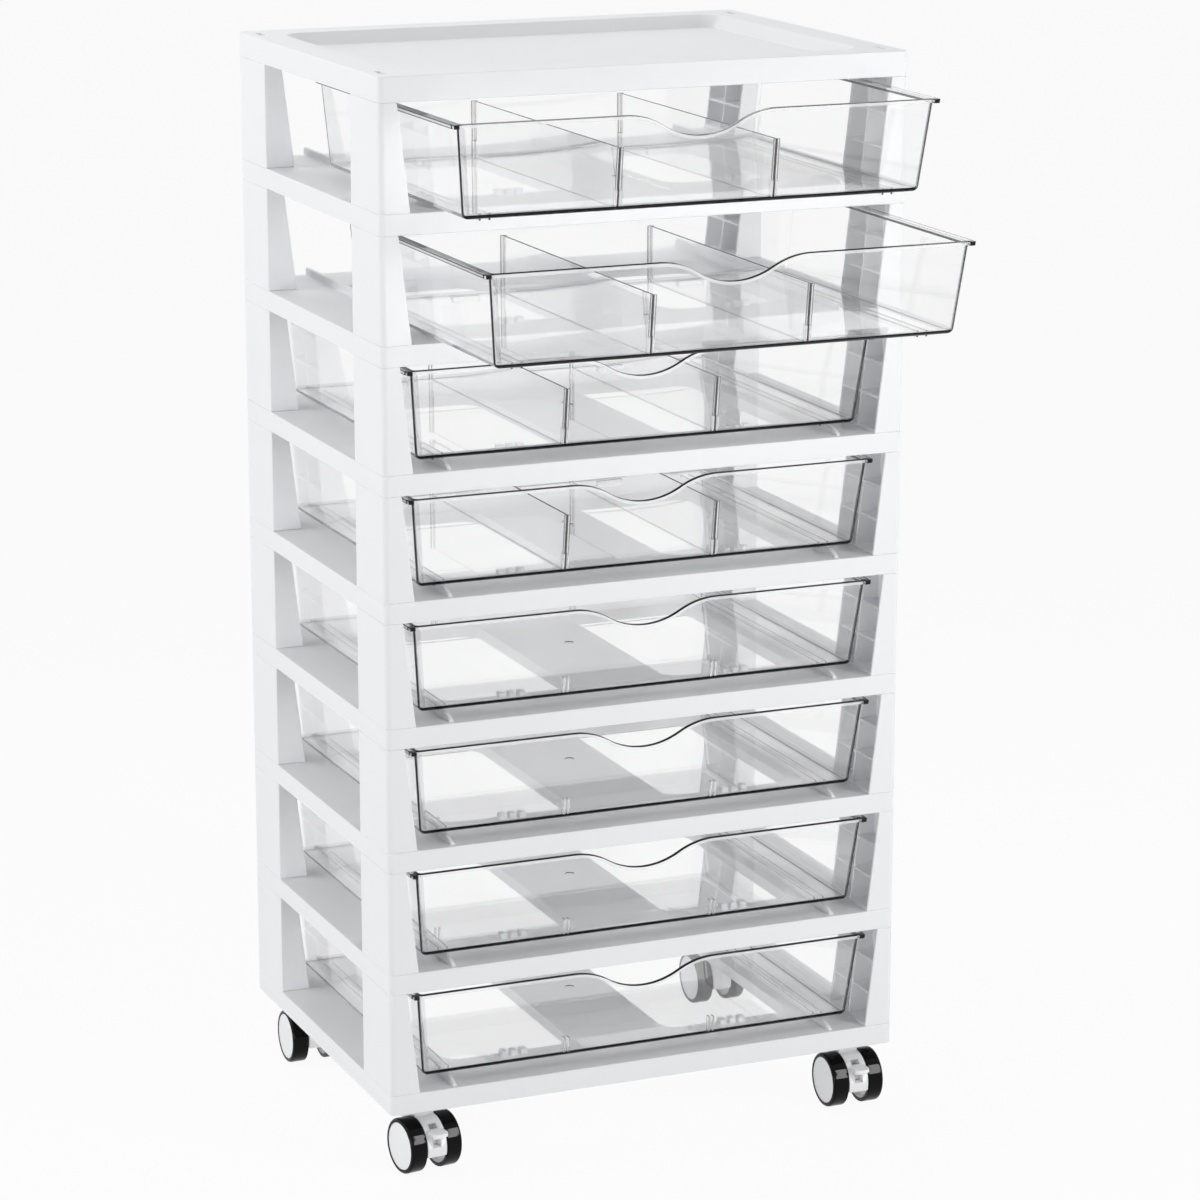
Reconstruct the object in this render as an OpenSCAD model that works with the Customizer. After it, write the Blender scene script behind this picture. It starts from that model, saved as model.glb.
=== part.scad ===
// Plastic drawer tower on four twin-wheel casters.
// Eight clear tray drawers slide in a stack of white frames and hollow corner posts.
// X runs to the right, Y to the back and Z up, in millimetres. The floor is at z = 0.

/* [Tower] */
// Outer width of the stack
tower_w = 390; // [360:1:450]
// Outer depth of the stack
tower_d = 296; // [280:1:340]
// Radius of the upright outer corners
corner_r = 4; // [2.5:0.5:8]
// Height of the base frame
base_h = 15; // [14:0.5:24]
// Height of the frame under each of the upper seven drawers
rail_h = 14.6; // [12:0.2:22]
// Height of the top cover
cover_h = 17.6; // [16:0.2:26]

/* [Corner posts] */
// Height of a post, which is the clear height of a tier
post_h = 74; // [66:1:110]
// Depth of a post from front to back
post_depth = 58; // [50:1:70]
// Width of a post at its foot
post_foot_w = 21.5; // [19:0.5:25]
// Width of a post at its top
post_top_w = 12.8; // [12.4:0.2:16]
// Thickness of a post's closed walls
post_skin = 2.2; // [1.6:0.1:3]
// Thickness of the ribs across a post's open inner side
post_rib = 1.8; // [1.2:0.1:3]
// Thickness of the tab that keys a post into a frame
tab_w = 3.4; // [2.4:0.1:4]
// Length of that tab from front to back
tab_len = 14.4; // [8:0.2:20]
// Distance of the tab's middle from the side of the tower
tab_inset_x = 9.8; // [8.5:0.1:10]
// Distance of the tab's middle from the front or the back
tab_inset_y = 23; // [18:0.5:32]
// Clearance around a tab in its slot
tab_clear = 0.3; // [0.2:0.05:0.6]
// Height left free between the two tabs that meet in one slot
tab_play = 2.6; // [1:0.2:5]

/* [Frames] */
// Thickness of a frame's top plate
plate_t = 2.4; // [1.8:0.1:3.5]
// Thickness of the skirt around a frame and around the cover
skirt_t = 2.4; // [1.8:0.1:3.2]
// Depth of the solid border in front of and behind the openings
border_y = 51; // [44:1:60]
// Width of the border beside the openings
border_x = 59; // [56:1:66]
// Width of the strip between the two openings
strip_w = 72; // [50:1:90]
// Corner radius of the openings
opening_r = 14; // [6:1:24]
// Height of the lip that hangs around each opening
lip_h = 9; // [5:0.5:11]
// Thickness of that lip
lip_t = 1.8; // [1.2:0.1:2.6]

/* [Runners] */
// Distance of a runner's middle from the side of the tower
runner_inset = 48.5; // [46:0.5:50]
// Thickness of a runner
runner_t = 3; // [2:0.2:4]
// Height of a runner above its frame
runner_h = 5.6; // [5.2:0.2:8]
// Distance of the runner's front tip from the front of the tower
runner_tip = 3; // [2:0.5:8]
// Length of the rounded ramp at the runner's front
ramp_len = 26; // [14:1:36]
// Gap between a drawer and its runners
run_gap = 0.1; // [0.05:0.05:0.3]
// Number of fingers in each stop block
finger_count = 3; // [2:1:4]
// Width of one finger
finger_w = 5; // [3:0.5:6]
// Gap between two fingers
finger_gap = 2.4; // [1.5:0.1:3]
// Length of a finger from front to back
finger_len = 7; // [4:0.5:10]
// Height of a finger
finger_h = 4; // [3:0.2:4.4]
// Distance of a stop block from the middle of the tower
finger_x = 86; // [76:1:96]

/* [Top cover] */
// Width of the flat rim around the sunk tray
tray_rim = 24; // [22:0.5:34]
// Depth of the tray
tray_depth = 9; // [5:0.5:10]
// Run of the tray's sloping wall
tray_slope = 7; // [3:0.5:12]
// Corner radius at the bottom of the tray
tray_r = 10; // [6:1:20]
// Thickness of the tray's floor and walls
tray_t = 2.4; // [1.8:0.1:3]

/* [Drawers] */
// How far the first drawer from the top is pulled out
pull_1 = 92; // [0:1:180]
// How far the second drawer from the top is pulled out
pull_2 = 147; // [0:1:200]
// Gap between the side flange and the posts
rim_gap = 6; // [5:0.5:10]
// Gap between the foot of a drawer and the posts
foot_gap = 8.9; // [7:0.1:11]
// Gap above the drawer's rim
head_gap = 4.8; // [3:0.2:8]
// Set-back of the front wall's top from the front of the tower
front_top = 6.5; // [4:0.5:8]
// Set-back of the front wall's foot from the front of the tower
front_foot = 14.7; // [12:0.1:17]
// Gap behind a closed drawer
back_gap = 17; // [12:0.5:24]
// Thickness of the drawer's walls
drawer_wall = 2; // [1.4:0.1:2.6]
// Thickness of the drawer's floor
drawer_floor = 2; // [1.6:0.1:2.6]
// Radius along the bottom of the side walls
side_r = 6; // [4:0.5:9]
// Radius along the bottom of the front and back walls
end_r = 4; // [3.2:0.2:6]
// Width of the flange along the sides of the rim
flange_w = 4; // [2:0.2:4.4]
// Thickness of that flange
flange_t = 3; // [2:0.2:4]
// Half the width of the finger scoop
scoop_half = 54; // [40:1:70]
// Depth of the finger scoop
scoop_depth = 15.6; // [8:0.2:20]
// Height of the bead along the front rim
bead_h = 2.4; // [1.6:0.1:3.2]
// How far the bead stands out from the front wall
bead_out = 0.8; // [0.4:0.1:1.4]
// Thickness of the ribs under the floor that guide the drawer on its runners
guide_t = 1.4; // [1:0.1:2]
// Height of those ribs
guide_h = 2.5; // [1.5:0.1:3]
// Clearance between a runner and the ribs beside it
guide_clear = 1.2; // [0.6:0.1:1.6]
// Distance of the ribs' ends from the front and back of the drawer's foot
guide_end = 11.3; // [8:0.1:20]
// Height of the stop lugs under the back of the drawer
lug_h = 3.6; // [3:0.1:4]
// Length of a stop lug from front to back
lug_len = 6; // [4:0.5:8]
// Radius of the moulding mark in the middle of the floor
mark_r = 3.2; // [2:0.1:5]
// Depth of that mark
mark_depth = 0.5; // [0.3:0.1:0.8]

/* [Dividers] */
// Distance from the rim down to the top of a divider
divider_drop = 21.2; // [18:0.2:30]
// Thickness of a divider
divider_t = 1.6; // [1.2:0.1:2.2]
// Thickness of a divider's upright end flanges
divider_flange_t = 1.6; // [1:0.1:2.4]
// Clearance around a divider
divider_clear = 0.2; // [0.1:0.05:0.4]
// Height of the locating ribs that hold a divider
locator_h = 12; // [8:0.5:16]
// Thickness of a locating rib
locator_t = 1.2; // [1:0.1:2]
// How far a locating rib reaches into the drawer
locator_reach = 3.2; // [2.4:0.2:5]

/* [Casters] */
// Height of a caster, from the floor to the base frame
caster_h = 47.5; // [46:0.5:64]
// Radius of a wheel
wheel_r = 20; // [18:0.5:21]
// Width of one wheel
wheel_w = 12; // [9:0.5:14]
// Radius of the white hub disc
hub_r = 17; // [14:0.5:17.5]
// Thickness of the hub's raised edge
hub_lip = 0.6; // [0.3:0.1:1]
// Width of the hood between the wheels
hood_w = 15; // [14:0.5:18]
// How much smaller the hood is than the wheel, in radius
hood_step = 0.5; // [0.5:0.1:1.5]
// Height of the hood's flat lower edge above the floor
hood_cut = 14.5; // [12:0.5:15]
// Gap between the hood and a wheel
wheel_gap = 0.5; // [0.4:0.1:1]
// Distance from the swivel axis forward to the axle
trail = 12; // [10:0.5:13]
// Distance of the swivel axis from the side of the tower
caster_inset_x = 28; // [26:0.5:34]
// Distance of the swivel axis from the front or the back
caster_inset_y = 27; // [25:0.5:34]
// Angle by which the front left caster is turned
yaw_left = 8; // [-30:1:30]
// Angle by which the front right caster is turned
yaw_right = 0; // [-30:1:30]
// Radius of the steel stem
stem_r = 4; // [3:0.1:4.2]
// Length of the stem inside the base frame
stem_reach = 12; // [9:0.5:12.5]
// Thickness of the stem's collar
collar_t = 1.4; // [1:0.1:2]
// Radius of the axle
axle_r = 2.5; // [2:0.1:3]
// Radial clearance of a pin that turns in its bore
turn_clear = 0.08; // [0.05:0.01:0.1]
// Radial clearance of a pin that is held in its bore
hold_clear = 0.03; // [0.02:0.01:0.05]
// Radius of the brake lever's barrel
barrel_r = 3; // [2.6:0.1:3.2]
// Radius of the brake lever's two pivots
pivot_r = 1.5; // [1.2:0.1:1.8]
// Width of the brake lever inside the hood
neck_w = 6; // [4:0.2:8]
// Gap on each side of the brake lever in its slot
slot_clear = 0.2; // [0.1:0.05:0.4]
// Width of the brake lever's pad
pad_w = 11.6; // [8:0.2:12]
// Thickness of that pad
pad_t = 2.4; // [1.8:0.1:3]
// Height of the pad's underside above the axle
pad_rise = 11.4; // [10.5:0.1:12]
// Radius of the pad's front corners
pad_r = 3.6; // [1.5:0.1:4]
// How far the pad stands out in front of the wheels
pad_out = 7; // [3:0.5:8]

/* [Hidden] */
$fn = 64;
eps = 0.5;
tier_count = 8;
divided_tiers = 4;

// Heights of the stack, counted from the floor
function shelf_z(tier) = caster_h + base_h + (tier_count - tier) * (post_h + rail_h);
cover_z = shelf_z(1) + post_h;

// Tabs and their slots
tab_h = (rail_h - tab_play) / 2;
slot_w = tab_w + 2 * tab_clear;
slot_len = tab_len + 2 * tab_clear;

// Openings in the frames
opening_w = tower_w / 2 - border_x - strip_w / 2;
opening_d = tower_d - 2 * border_y;
opening_x = strip_w / 2 + opening_w / 2;

// Runners
runner_x = tower_w / 2 - runner_inset;
runner_end = tower_d - skirt_t;

// Drawer sizes, with z counted from the underside of the drawer's floor
drawer_z = runner_h + run_gap;
drawer_h = post_h - drawer_z - head_gap;
drawer_back = tower_d - back_gap;
function post_w_at(z) = post_foot_w - (post_foot_w - post_top_w) * z / post_h;
rim_half = tower_w / 2 - post_w_at(drawer_z + drawer_h) - rim_gap;
top_half = rim_half - flange_w;
foot_half = tower_w / 2 - post_w_at(drawer_z) - foot_gap;
function side_at(z) = foot_half + (top_half - foot_half) * z / drawer_h;
function front_at(z) = front_foot - (front_foot - front_top) * z / drawer_h;
scoop_r = scoop_half * scoop_half / (4 * scoop_depth) + scoop_depth / 4;
scoop_steps = 18;
guide_x = runner_t / 2 + guide_clear + guide_t / 2;
lug_back = drawer_back - end_r - 1;
block_w = finger_count * finger_w + (finger_count - 1) * finger_gap;

// Dividers
divider_x = (top_half - drawer_wall) / 3;
divider_top = drawer_h - divider_drop;
locator_gap = divider_t + 2 * divider_clear;
locator_w = locator_gap + 2 * locator_t;
locator_top = drawer_floor + locator_h;

// Casters
stem_x = tower_w / 2 - caster_inset_x;
boss_r = hood_w / 2 - 0.1;
head_r = hood_w / 2 + 2.5;
head_z = 2 * wheel_r + 1.5;
head_top = caster_h - collar_t - 0.1;
stem_foot = wheel_r + axle_r + 2;
wheel_x = hood_w / 2 + wheel_gap;
hood_r = wheel_r - hood_step;
axle_half = wheel_x + wheel_w - 2;
// The brake lever, with lengths counted forward and up from the axle
pivot_out = hood_r / 2;
pivot_up = 2;
pad_root = sqrt(pow(hood_r + 0.6, 2) - pow(pad_rise, 2));
pad_tip = wheel_r + pad_out;
slot_in = pivot_out - barrel_r - 0.6;
slot_low = pivot_up - barrel_r - 0.7;
slot_high = pad_rise + pad_t + 2.6;
sill_in = pivot_out + barrel_r + 1;
sill_up = pivot_up - 0.5;

// The box around the whole part is centred on the origin, with its pulled drawers
longest_pull = max(pull_1, pull_2, front_top - bead_out);
front_reach = front_top - bead_out - longest_pull;
middle_y = (front_reach + tower_d) / 2;

// ---------- shared shapes ----------

// Stands the tower on the origin of the part
module placed() {
    translate([0, -middle_y, 0])
        children();
}

// An outline in X and Z, drawn out along Y from 0 to length
module along_y(length) {
    translate([0, length, 0])
        rotate([90, 0, 0])
            linear_extrude(length)
                children();
}

// An outline in Y and Z, drawn out along X to both sides of the middle
module along_x(length) {
    translate([-length / 2, 0, 0])
        rotate([90, 0, 90])
            linear_extrude(length)
                children();
}

// A rectangle with round corners, centred on the origin
module round_rect(w, d, r) {
    square([w - 2 * r, d], center = true);
    square([w, d - 2 * r], center = true);
    for (x = [-1, 1], y = [-1, 1])
        translate([x * (w / 2 - r), y * (d / 2 - r)])
            circle(r);
}

// The plan of the tower, inset by some distance
module tower_plan(inset = 0) {
    translate([0, tower_d / 2])
        round_rect(tower_w - 2 * inset, tower_d - 2 * inset, corner_r - min(inset, corner_r - 0.4));
}

// Copies a shape drawn at the front left corner to all four corners
module four_corners() {
    for (x = [0, 1], y = [0, 1])
        translate([0, tower_d / 2, 0])
            mirror([x, 0, 0])
                mirror([0, y, 0])
                    translate([-tower_w / 2, -tower_d / 2, 0])
                        children();
}

// A sunk tray: a rectangle with round corners that widens upwards
module tray_solid(half_x, half_y, r_low, r_high, h) {
    along_x(2 * half_x)
        polygon([
            [-half_y - r_low, 0],
            [half_y + r_low, 0],
            [half_y + r_high, h],
            [-half_y - r_high, h]
        ]);
    translate([0, -half_y, 0])
        along_y(2 * half_y)
            polygon([
                [-half_x - r_low, 0],
                [half_x + r_low, 0],
                [half_x + r_high, h],
                [-half_x - r_high, h]
            ]);
    for (x = [-half_x, half_x], y = [-half_y, half_y])
        translate([x, y, 0])
            cylinder(h = h, r1 = r_low, r2 = r_high);
}

// ---------- corner posts ----------

// The two slots of a frame corner take the tabs of the posts below and above it
module tab_slot(h) {
    translate([tab_inset_x - slot_w / 2, tab_inset_y - slot_len / 2, -eps])
        cube([slot_w, slot_len, h + 2 * eps]);
}

// A hollow post at the front left corner, open towards the middle of the tower
module corner_post() {
    cell_d = (post_depth - 2 * post_skin - post_rib) / 2;
    cell_h = (post_h - 2 * post_skin - 2 * post_rib) / 3;
    difference() {
        intersection() {
            along_y(post_depth)
                polygon([[0, 0], [post_foot_w, 0], [post_top_w, post_h], [0, post_h]]);
            linear_extrude(post_h)
                union() {
                    translate([corner_r, 0])
                        square([post_foot_w, post_depth]);
                    translate([0, corner_r])
                        square([post_foot_w, post_depth]);
                    translate([corner_r, corner_r])
                        circle(corner_r);
                }
        }
        for (column = [0, 1], row = [0, 1, 2])
            translate([
                post_skin,
                post_skin + column * (cell_d + post_rib),
                post_skin + row * (cell_h + post_rib)
            ])
                cube([post_foot_w, cell_d, cell_h]);
    }
    for (z = [-tab_h, post_h - eps])
        translate([tab_inset_x - tab_w / 2, tab_inset_y - tab_len / 2, z])
            cube([tab_w, tab_len, tab_h + eps]);
}

module corner_posts(tier) {
    color([0.94, 0.94, 0.95])
        translate([0, 0, shelf_z(tier)])
            four_corners()
                corner_post();
}

// ---------- frames ----------

// A runner with a rounded ramp at its front, standing on z = 0
module runner() {
    ramp = [for (a = [0:15:90]) [runner_tip + ramp_len * (1 - cos(a)), runner_h * sin(a)]];
    along_x(runner_t)
        polygon(concat(ramp, [[runner_end, runner_h], [runner_end, -eps], [runner_tip, -eps]]));
}

// Fingers on the front border that stop the drawer at the end of its travel
module stop_block() {
    for (i = [0 : finger_count - 1])
        translate([i * (finger_w + finger_gap) - block_w / 2, border_y - lip_t - finger_len, -eps])
            cube([finger_w, finger_len, finger_h + eps]);
}

// The frame of one tier: a plate with a skirt, two lipped openings and solid corners
module frame(h, corner_w) {
    difference() {
        union() {
            difference() {
                linear_extrude(h)
                    tower_plan();
                translate([0, 0, -eps])
                    linear_extrude(h - plate_t + eps)
                        tower_plan(skirt_t);
            }
            intersection() {
                linear_extrude(h)
                    tower_plan();
                four_corners()
                    cube([corner_w, post_depth, h]);
            }
            for (x = [-opening_x, opening_x])
                translate([x, tower_d / 2, h - lip_h])
                    linear_extrude(lip_h)
                        round_rect(opening_w + 2 * lip_t, opening_d + 2 * lip_t, opening_r + lip_t);
        }
        for (x = [-opening_x, opening_x])
            translate([x, tower_d / 2, -eps])
                linear_extrude(h + 2 * eps)
                    round_rect(opening_w, opening_d, opening_r);
        four_corners()
            tab_slot(h);
    }
    for (side = [-1, 1]) {
        translate([side * runner_x, 0, h])
            runner();
        translate([side * finger_x, 0, h])
            stop_block();
    }
}

module shelf_frame(tier) {
    color([0.94, 0.94, 0.95])
        translate([0, 0, shelf_z(tier) - rail_h])
            frame(rail_h, post_foot_w);
}

module base_frame() {
    color([0.94, 0.94, 0.95])
        translate([0, 0, caster_h])
            difference() {
                frame(base_h, caster_inset_x + stem_r + 6);
                four_corners()
                    translate([caster_inset_x, caster_inset_y, -eps])
                        cylinder(h = stem_reach + 2 * eps, r = stem_r + hold_clear);
            }
}

module top_cover() {
    half_x = tower_w / 2 - tray_rim - tray_slope - tray_r;
    half_y = tower_d / 2 - tray_rim - tray_slope - tray_r;
    tray_z = cover_h - tray_depth;
    color([0.94, 0.94, 0.95])
        translate([0, 0, cover_z])
            difference() {
                union() {
                    difference() {
                        linear_extrude(cover_h)
                            tower_plan();
                        translate([0, 0, -eps])
                            linear_extrude(cover_h - plate_t + eps)
                                tower_plan(skirt_t);
                    }
                    intersection() {
                        linear_extrude(cover_h)
                            tower_plan();
                        four_corners()
                            cube([post_foot_w, post_depth, cover_h]);
                    }
                    translate([0, tower_d / 2, tray_z - tray_t])
                        tray_solid(
                            half_x, half_y, tray_r + tray_t, tray_r + tray_slope + tray_t,
                            tray_depth + tray_t
                        );
                }
                translate([0, tower_d / 2, tray_z]) {
                    tray_solid(half_x, half_y, tray_r, tray_r + tray_slope, tray_depth);
                    translate([0, 0, tray_depth])
                        linear_extrude(eps)
                            round_rect(
                                2 * (half_x + tray_r + tray_slope),
                                2 * (half_y + tray_r + tray_slope),
                                tray_r + tray_slope
                            );
                }
                four_corners()
                    tab_slot(cover_h);
            }
}

// ---------- drawers ----------

// A tray's section: straight walls that lean outwards and round bottom corners
module tray_section(low_foot, high_foot, low_top, high_top, h, r) {
    low_lean = atan((low_foot - low_top) / h);
    high_lean = atan((high_top - high_foot) / h);
    low_cut = r / tan((90 + low_lean) / 2);
    high_cut = r / tan((90 + high_lean) / 2);
    polygon([
        [low_foot + low_cut, 0],
        [high_foot - high_cut, 0],
        [high_foot + high_cut * sin(high_lean), high_cut * cos(high_lean)],
        [high_top, h],
        [low_top, h],
        [low_foot - low_cut * sin(low_lean), low_cut * cos(low_lean)]
    ]);
    translate([low_foot + low_cut, r])
        circle(r);
    translate([high_foot - high_cut, r])
        circle(r);
}

// The tray's space between two heights, inset by a wall on every side
module tray_space(z_low, z_high, wall) {
    translate([0, 0, z_low])
        intersection() {
            along_y(tower_d)
                tray_section(
                    -side_at(z_low) + wall, side_at(z_low) - wall,
                    -side_at(z_high) + wall, side_at(z_high) - wall,
                    z_high - z_low, side_r - wall
                );
            along_x(2 * rim_half)
                tray_section(
                    front_at(z_low) + wall, drawer_back - wall,
                    front_at(z_high) + wall, drawer_back - wall,
                    z_high - z_low, end_r - wall
                );
        }
}

// Height of the front rim at x: one hollow arc between two round shoulders
function rim_at(x) =
    abs(x) < scoop_half / 2
        ? drawer_h - scoop_depth + scoop_r - sqrt(scoop_r * scoop_r - x * x)
        : drawer_h - scoop_r + sqrt(scoop_r * scoop_r - pow(scoop_half - abs(x), 2));
scoop_x = [for (i = [-scoop_steps : scoop_steps]) scoop_half * i / scoop_steps];

// The finger scoop, open at the top
module scoop_outline() {
    rim = [for (x = scoop_x) [x, rim_at(x)]];
    polygon(concat(rim, [[scoop_half, drawer_h + 2], [-scoop_half, drawer_h + 2]]));
}

// The bead that stands out along the front rim and follows the scoop
module front_bead() {
    underline = [for (x = scoop_x) [x, rim_at(x) - bead_h]];
    intersection() {
        along_y(front_foot + drawer_wall)
            polygon(concat(
                [[-top_half, drawer_h], [-top_half, drawer_h - bead_h]],
                underline,
                [[top_half, drawer_h - bead_h], [top_half, drawer_h]]
            ));
        along_x(2 * rim_half)
            polygon([
                [front_at(0) - bead_out, 0],
                [front_at(0) + drawer_wall / 2, 0],
                [front_at(drawer_h) + drawer_wall / 2, drawer_h],
                [front_at(drawer_h) - bead_out, drawer_h]
            ]);
    }
}

// The flange along one side of the rim
module side_flange() {
    translate([top_half - drawer_wall / 2, front_top - bead_out, drawer_h - flange_t])
        cube([flange_w + drawer_wall / 2, drawer_back - front_top + bead_out, flange_t]);
}

// Pairs of ribs on the front and back walls that hold the ends of the dividers
module locators() {
    intersection() {
        tray_space(0, drawer_h, drawer_wall / 2);
        for (side = [-1, 1], edge = [-1, 1])
            translate([
                side * divider_x + edge * (locator_gap + locator_t) / 2 - locator_t / 2,
                0,
                drawer_floor - eps
            ]) {
                cube([locator_t, front_at(drawer_floor) + drawer_wall + locator_reach, locator_h + eps]);
                translate([0, drawer_back - drawer_wall - locator_reach, 0])
                    cube([locator_t, drawer_wall + locator_reach, locator_h + eps]);
            }
    }
}

// Ribs under the floor that straddle the runners, and lugs that meet the stop blocks
module underside() {
    guide_front = front_foot + guide_end;
    guide_back = drawer_back - guide_end;
    for (side = [-1, 1], edge = [-1, 1])
        translate([side * runner_x + edge * guide_x - guide_t / 2, guide_front, -guide_h])
            cube([guide_t, guide_back - guide_front, guide_h + eps]);
    for (side = [-1, 1])
        translate([side * finger_x - block_w / 2, lug_back - lug_len, -lug_h])
            cube([block_w, lug_len, lug_h + eps]);
}

// One clear drawer at its closed place, with z = 0 at the underside of its floor
module drawer_shape() {
    difference() {
        union() {
            difference() {
                union() {
                    tray_space(0, drawer_h, 0);
                    front_bead();
                    side_flange();
                    mirror([1, 0, 0])
                        side_flange();
                }
                tray_space(drawer_floor, drawer_h + 1, drawer_wall);
                translate([0, -1, 0])
                    along_y(front_foot + drawer_wall + 1)
                        scoop_outline();
            }
            locators();
            underside();
        }
        translate([0, (front_foot + drawer_back) / 2, drawer_floor - mark_depth])
            cylinder(h = mark_depth + eps, r = mark_r);
    }
}

function pull_of(tier) = tier == 1 ? pull_1 : tier == 2 ? pull_2 : 0;

module in_drawer(tier) {
    translate([0, -pull_of(tier), shelf_z(tier) + drawer_z])
        children();
}

module drawer(tier) {
    color([0.82, 0.85, 0.87, 0.4])
        in_drawer(tier)
            drawer_shape();
}

// A divider: a thin panel with an upright flange at each end, above the locating ribs
module divider_shape() {
    foot = drawer_floor + divider_clear;
    flange_z = locator_top + divider_clear;
    gap = drawer_wall + divider_clear;
    back = drawer_back - gap;
    along_x(divider_t)
        polygon([
            [front_at(foot) + gap + end_r / 2, foot],
            [back - end_r / 2, foot],
            [back, foot + end_r / 2],
            [back, divider_top],
            [front_at(divider_top) + gap, divider_top],
            [front_at(foot + end_r / 2) + gap, foot + end_r / 2]
        ]);
    along_x(locator_w)
        polygon([
            [front_at(flange_z) + gap, flange_z],
            [front_at(flange_z) + gap + divider_flange_t, flange_z],
            [front_at(divider_top) + gap + divider_flange_t, divider_top],
            [front_at(divider_top) + gap, divider_top]
        ]);
    along_x(locator_w)
        polygon([
            [back - divider_flange_t, flange_z],
            [back, flange_z],
            [back, divider_top],
            [back - divider_flange_t, divider_top]
        ]);
}

module divider(tier, side) {
    color([0.82, 0.85, 0.87, 0.4])
        in_drawer(tier)
            translate([side * divider_x, 0, 0])
                divider_shape();
}

// ---------- casters ----------

// A steel stem in the base frame, with the collar that carries the hood
module caster_stem() {
    translate([0, 0, stem_foot])
        cylinder(h = caster_h + stem_reach - stem_foot, r = stem_r);
    translate([0, 0, caster_h - collar_t])
        cylinder(h = collar_t, r = head_r - 2);
}

module caster_stems() {
    color([0.7, 0.71, 0.72])
        four_corners()
            translate([caster_inset_x, caster_inset_y, 0])
                caster_stem();
}

// Moves a caster to one corner: side is -1 or 1, back is 0 or 1
module at_caster(side, back) {
    translate([
        side * stem_x,
        back * (tower_d - 2 * caster_inset_y) + caster_inset_y,
        0
    ])
        rotate([0, 0, (1 - back) * (side < 0 ? yaw_left : yaw_right)])
            children();
}

// A rod along X through the axle's place or another place in the caster
module cross_rod(y, z, half, r) {
    translate([-half, y, z])
        rotate([0, 90, 0])
            cylinder(h = 2 * half, r = r);
}

// An outline with lengths counted forward and up from the axle, drawn out along X
module from_axle(length) {
    translate([0, -trail, wheel_r])
        along_x(length)
            mirror([1, 0])
                children();
}

// The slot in the hood's front, with a sill below its mouth
module lever_slot() {
    from_axle(neck_w + 2 * slot_clear)
        polygon([
            [slot_in, slot_low],
            [sill_in, slot_low],
            [sill_in, sill_up],
            [pad_tip, sill_up],
            [pad_tip, slot_high],
            [slot_in, slot_high]
        ]);
    from_axle(hood_w + 2 * eps)
        translate([pivot_out, pivot_up])
            circle(pivot_r + turn_clear);
}

// The hood between the wheels, which turns on the stem and holds the axle
module hood_shape(has_brake) {
    difference() {
        union() {
            from_axle(hood_w)
                difference() {
                    circle(hood_r);
                    translate([-wheel_r, -wheel_r])
                        square([2 * wheel_r, hood_cut]);
                }
            translate([-boss_r, -trail, wheel_r])
                cube([2 * boss_r, trail + boss_r, head_z - wheel_r + eps]);
            translate([0, 0, head_z])
                cylinder(h = head_top - head_z, r = head_r);
        }
        translate([0, 0, stem_foot - 1])
            cylinder(h = caster_h, r = stem_r + turn_clear);
        cross_rod(-trail, wheel_r, hood_w, axle_r + turn_clear);
        if (has_brake)
            lever_slot();
    }
}

module hood(side, back) {
    color([0.95, 0.95, 0.96])
        at_caster(side, back)
            hood_shape(back == 0);
}

module axle(side, back) {
    color([0.7, 0.71, 0.72])
        at_caster(side, back)
            cross_rod(-trail, wheel_r, axle_half, axle_r);
}

// Places one wheel's part on each side, with z = 0 at the wheel's inner face
module wheel_pair() {
    for (x = [0, 1])
        mirror([x, 0, 0])
            translate([wheel_x, -trail, wheel_r])
                rotate([0, 90, 0])
                    children();
}

module hubs(side, back) {
    color([0.95, 0.95, 0.96])
        at_caster(side, back)
            wheel_pair()
                difference() {
                    cylinder(h = wheel_w - 0.4, r = hub_r - hold_clear);
                    translate([0, 0, wheel_w - 0.4 - hub_lip])
                        cylinder(h = wheel_w, r = hub_r - 2);
                    translate([0, 0, -eps])
                        cylinder(h = axle_half - wheel_x + eps + 0.2, r = axle_r + hold_clear);
                }
}

module tyres(side, back) {
    edge = 0.8;
    bevel = 2;
    color([0.08, 0.08, 0.09])
        at_caster(side, back)
            wheel_pair()
                rotate_extrude()
                    polygon([
                        [hub_r, 0],
                        [wheel_r - edge, 0],
                        [wheel_r, edge],
                        [wheel_r, wheel_w - bevel],
                        [wheel_r - bevel / 2, wheel_w - bevel / 4],
                        [(hub_r + wheel_r) / 2, wheel_w],
                        [hub_r, wheel_w]
                    ]);
}

// A lever that is pressed down to lock the wheels: a barrel, a neck and a pad
module brake_lever(side) {
    color([0.95, 0.95, 0.96])
        at_caster(side, 0) {
            from_axle(neck_w)
                translate([pivot_out, pivot_up])
                    circle(barrel_r);
            from_axle(hood_w - 0.6)
                translate([pivot_out, pivot_up])
                    circle(pivot_r);
            from_axle(neck_w)
                polygon([
                    [pivot_out - barrel_r + 0.8, pivot_up + 1],
                    [pivot_out + 1, pivot_up - barrel_r + 1],
                    [sill_in - 1, pivot_up],
                    [sill_in + 1.5, pivot_up + 2.4],
                    [hood_r, pivot_up + 4],
                    [pad_root + 5, pad_rise + pad_t / 2],
                    [pad_root + 5, pad_rise + pad_t],
                    [pad_root - 3, pad_rise + pad_t]
                ]);
            translate([0, -trail, wheel_r + pad_rise])
                linear_extrude(pad_t) {
                    translate([-pad_w / 2, -pad_tip + pad_r])
                        square([pad_w, pad_tip - pad_r - pad_root]);
                    translate([-pad_w / 2 + pad_r, -pad_tip])
                        square([pad_w - 2 * pad_r, pad_r + 1]);
                    for (x = [-1, 1])
                        translate([x * (pad_w / 2 - pad_r), -pad_tip + pad_r])
                            circle(pad_r);
                }
        }
}

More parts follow.
